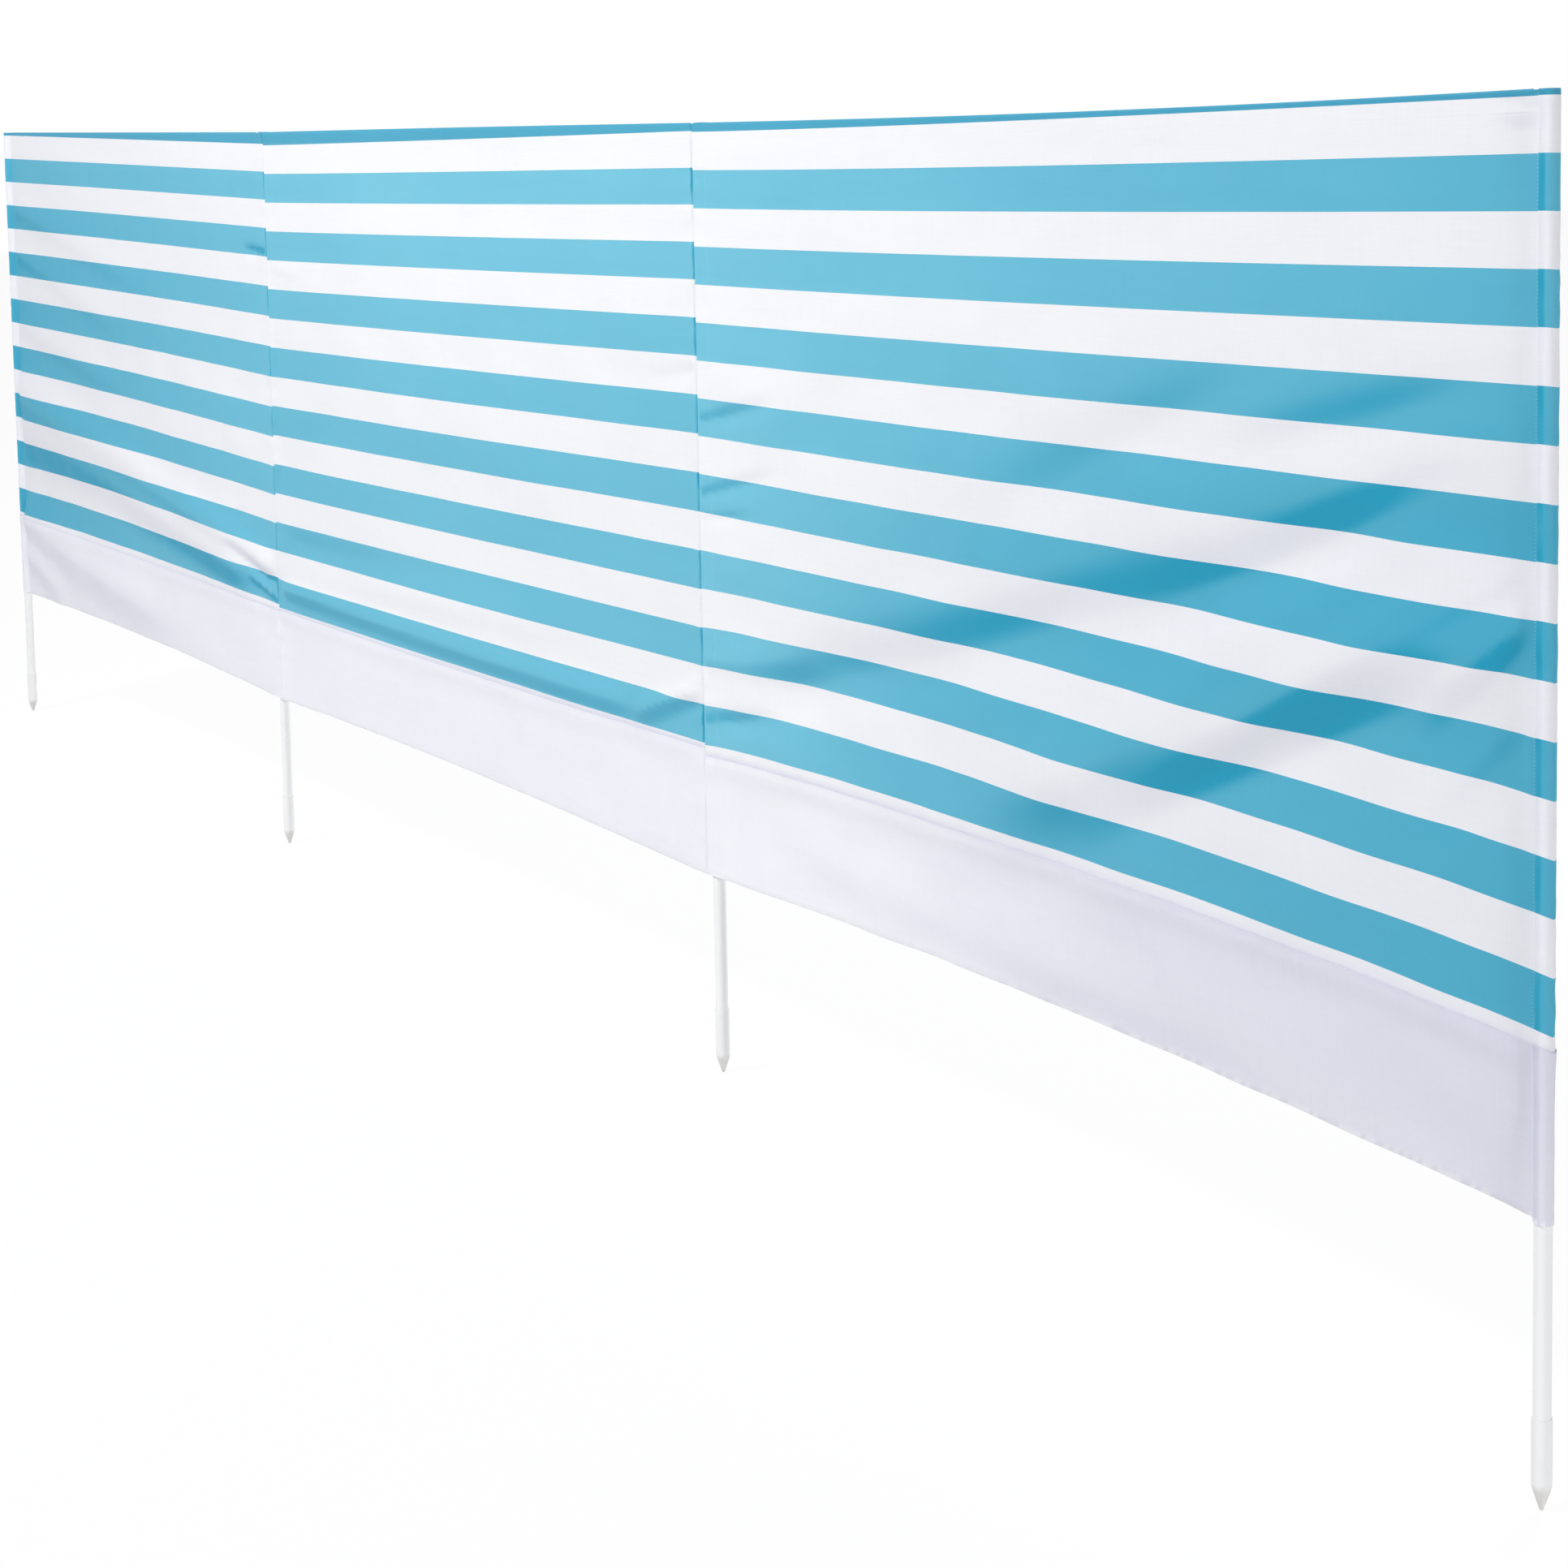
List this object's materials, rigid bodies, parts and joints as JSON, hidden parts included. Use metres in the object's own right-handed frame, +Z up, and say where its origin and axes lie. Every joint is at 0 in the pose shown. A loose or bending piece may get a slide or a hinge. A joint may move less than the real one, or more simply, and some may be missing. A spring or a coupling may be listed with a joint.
{
  "type": "beach windbreak",
  "caption": "Long striped cloth screen held upright by slim ground poles with pointed plastic feet, with a plain sewn skirt along its lower edge.",
  "frame": {"origin": "on the axis of the left end pole, at the upper end of its pointed foot's sleeve", "axes": "+X along the row from the left end pole to the right end pole, +Z up along the poles, the front faces -Y"},
  "size_m": [4.98, 0.0339, 1.511],
  "materials": {
    "pole_coating": "white powder-coated steel tube, satin",
    "spike_plastic": "white moulded plastic, lightly satin",
    "striped_cloth": "woven polyester in light blue and white stripes",
    "white_cloth": "plain white woven polyester"
  },
  "bodies": {
    "left_bay": {"pole_1_tube": "pole_coating", "pole_1_spike": "spike_plastic", "pole_1_plug": "spike_plastic", "pole_1_pocket": "striped_cloth", "pole_1_skirt_pocket": "white_cloth", "pole_2_tube": "pole_coating", "pole_2_spike": "spike_plastic", "pole_2_plug": "spike_plastic", "pole_2_pocket": "striped_cloth", "pole_2_skirt_pocket": "white_cloth", "left_panel": "striped_cloth", "left_skirt": "white_cloth", "left_top_hem": "striped_cloth", "left_bottom_hem": "white_cloth"},
    "middle_bay": {"middle_panel": "striped_cloth", "middle_skirt": "white_cloth", "middle_top_hem": "striped_cloth", "middle_bottom_hem": "white_cloth"},
    "right_bay": {"pole_3_tube": "pole_coating", "pole_3_spike": "spike_plastic", "pole_3_plug": "spike_plastic", "pole_3_pocket": "striped_cloth", "pole_3_skirt_pocket": "white_cloth", "pole_4_tube": "pole_coating", "pole_4_spike": "spike_plastic", "pole_4_plug": "spike_plastic", "pole_4_pocket": "striped_cloth", "pole_4_skirt_pocket": "white_cloth", "right_panel": "striped_cloth", "right_skirt": "white_cloth", "right_top_hem": "striped_cloth", "right_bottom_hem": "white_cloth"}
  },
  "joints": [
    {"name": "left_seam_fold", "type": "hinge", "parent": "left_bay", "child": "middle_bay", "pos_m": [1.6485, 0, 0], "axis": [0, 0, 1], "range_deg": [-90, 90]},
    {"name": "right_seam_fold", "type": "hinge", "parent": "middle_bay", "child": "right_bay", "pos_m": [3.3085, 0, 0], "axis": [0, 0, 1], "range_deg": [-90, 90]}
  ]
}
